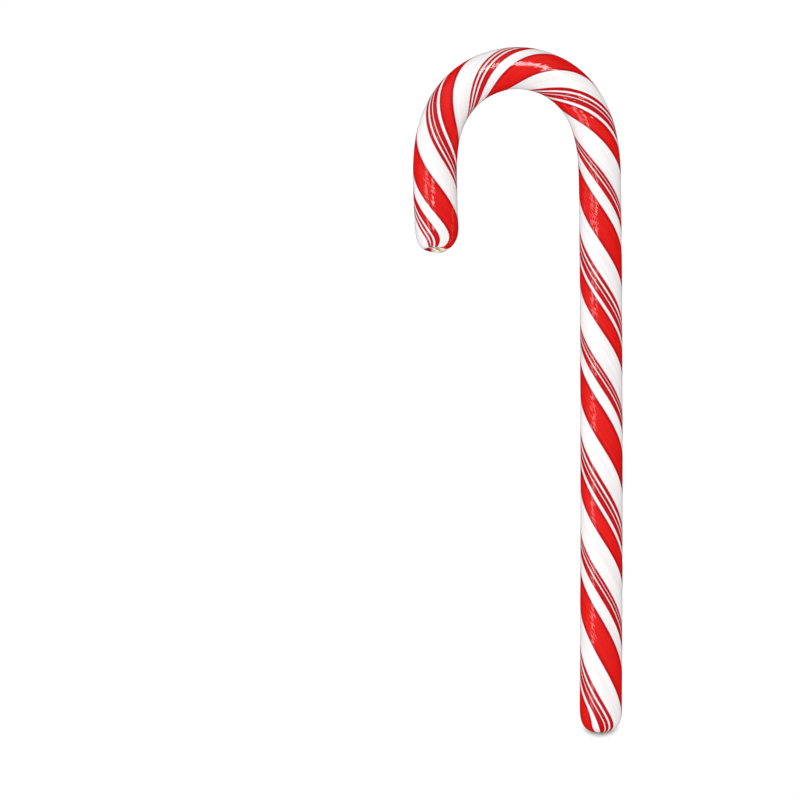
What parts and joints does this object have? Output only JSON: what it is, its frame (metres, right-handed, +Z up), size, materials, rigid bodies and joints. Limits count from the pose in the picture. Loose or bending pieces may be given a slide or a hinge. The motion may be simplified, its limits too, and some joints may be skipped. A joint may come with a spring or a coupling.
{
  "type": "candy cane",
  "caption": "Round stick of hard sugar bent into a hook, with twisted red and white stripes, lying on its side.",
  "frame": {"origin": "on the surface the cane lies on, under the middle of its outline", "axes": "+Y along the shaft from the foot towards the crown of the hook, +Z up out of the surface, hook opening towards -Y on the -X side"},
  "size_m": [0.0428, 0.14, 0.0089],
  "materials": {
    "pulled_sugar": "glossy pulled sugar, white with twisted red stripes; the red is about (0.78, 0.02, 0.02) linear"
  },
  "bodies": {
    "root": {"candy_cane": "pulled_sugar"}
  },
  "joints": []
}
